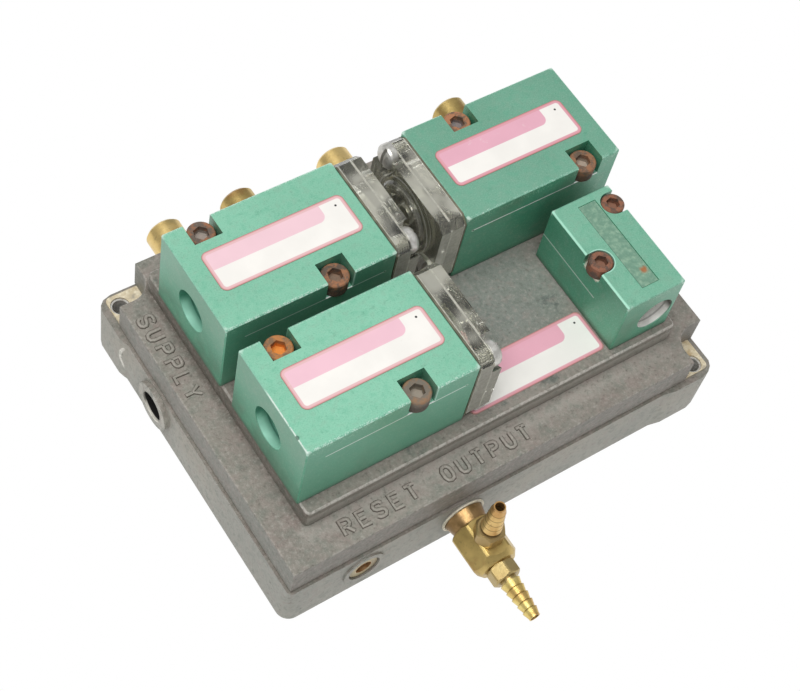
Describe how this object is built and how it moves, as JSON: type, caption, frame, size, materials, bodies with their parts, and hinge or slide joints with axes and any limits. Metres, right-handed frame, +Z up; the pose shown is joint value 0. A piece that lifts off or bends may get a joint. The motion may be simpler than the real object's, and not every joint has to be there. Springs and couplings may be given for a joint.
{
  "type": "pneumatic valve",
  "caption": "Pneumatic valve manifold: spool valves and a shuttle module on a two-part cast base with brass ports.",
  "frame": {"origin": "centre of the base's underside", "axes": "+X along the long front edge to the right, +Y to the back wall with the brass couplings, +Z up"},
  "size_m": [0.15, 0.1593, 0.066],
  "materials": {
    "cast_grey": "old cast alloy, dull and dirty",
    "gasket_cream": "compressed fibre sheet",
    "green_anodised": "green anodised, satin, worn at the edges",
    "brass": "bare brass, stained",
    "rusty_steel": "socket screws with light rust",
    "bright_steel": "plated steel",
    "clear_plastic": "clear acrylic, yellowed",
    "rubber_black": "moulded rubber",
    "spool_metal": "turned, smooth",
    "label_print": "printed film label",
    "stamped_field": "bare milled field, worn green"
  },
  "bodies": {
    "manifold": {"lower_casting": "cast_grey", "casting_gasket": "gasket_cream", "upper_casting": "cast_grey", "casting_screws": "rusty_steel", "bed_label": "label_print", "valve1_body": "green_anodised", "valve1_port_gasket": "rubber_black", "valve1_sleeve": "bright_steel", "valve1_sleeve_seals": "rubber_black", "valve1_spring": "bright_steel", "valve1_diaphragm": "rubber_black", "valve1_pilot_plate": "clear_plastic", "valve1_pilot_cap": "clear_plastic", "valve1_cap_screws": "bright_steel", "valve1_label": "label_print", "valve1_body_screws": "rusty_steel", "valve2_body": "green_anodised", "valve2_port_gasket": "rubber_black", "valve2_sleeve": "bright_steel", "valve2_sleeve_seals": "rubber_black", "valve2_spring": "bright_steel", "valve2_diaphragm": "rubber_black", "valve2_pilot_plate": "clear_plastic", "valve2_pilot_cap": "clear_plastic", "valve2_cap_screws": "bright_steel", "valve2_label": "label_print", "valve2_body_screws": "rusty_steel", "valve3_body": "green_anodised", "valve3_port_gasket": "rubber_black", "valve3_sleeve": "bright_steel", "valve3_sleeve_seals": "rubber_black", "valve3_spring": "bright_steel", "valve3_diaphragm": "rubber_black", "valve3_pilot_plate": "clear_plastic", "valve3_pilot_cap": "clear_plastic", "valve3_cap_screws": "bright_steel", "valve3_label": "label_print", "valve3_body_screws": "rusty_steel", "module_body": "green_anodised", "module_port_gasket": "rubber_black", "module_field": "stamped_field", "module_front_seat": "bright_steel", "module_rear_seat": "bright_steel", "module_screws": "rusty_steel", "reset_bush": "brass", "tee_body": "brass", "tee_barb_run": "brass", "tee_barb_branch": "brass", "rear_coupling_1": "brass", "rear_coupling_2": "brass", "rear_coupling_3": "brass", "rear_coupling_4": "brass"},
    "valve1_spool_set": {"valve1_spool": "spool_metal", "valve1_spool_seals": "rubber_black"},
    "valve2_spool_set": {"valve2_spool": "spool_metal", "valve2_spool_seals": "rubber_black"},
    "valve3_spool_set": {"valve3_spool": "spool_metal", "valve3_spool_seals": "rubber_black"},
    "shuttle": {"module_shuttle": "spool_metal"}
  },
  "joints": [
    {"name": "valve1_spool_slide", "type": "slide", "parent": "manifold", "child": "valve1_spool_set", "axis": [-1, 0, 0], "range_m": [0, 0.002], "stiffness_N_per_m": 800, "springref_m": -0.004, "deforming": ["valve1_spring"]},
    {"name": "valve2_spool_slide", "type": "slide", "parent": "manifold", "child": "valve2_spool_set", "axis": [-1, 0, 0], "range_m": [0, 0.002], "stiffness_N_per_m": 800, "springref_m": -0.004, "deforming": ["valve2_spring"]},
    {"name": "valve3_spool_slide", "type": "slide", "parent": "manifold", "child": "valve3_spool_set", "axis": [1, 0, 0], "range_m": [0, 0.002], "stiffness_N_per_m": 800, "springref_m": -0.004, "deforming": ["valve3_spring"]},
    {"name": "shuttle_slide", "type": "slide", "parent": "manifold", "child": "shuttle", "axis": [0, -1, 0], "range_m": [0, 0.0028]}
  ]
}
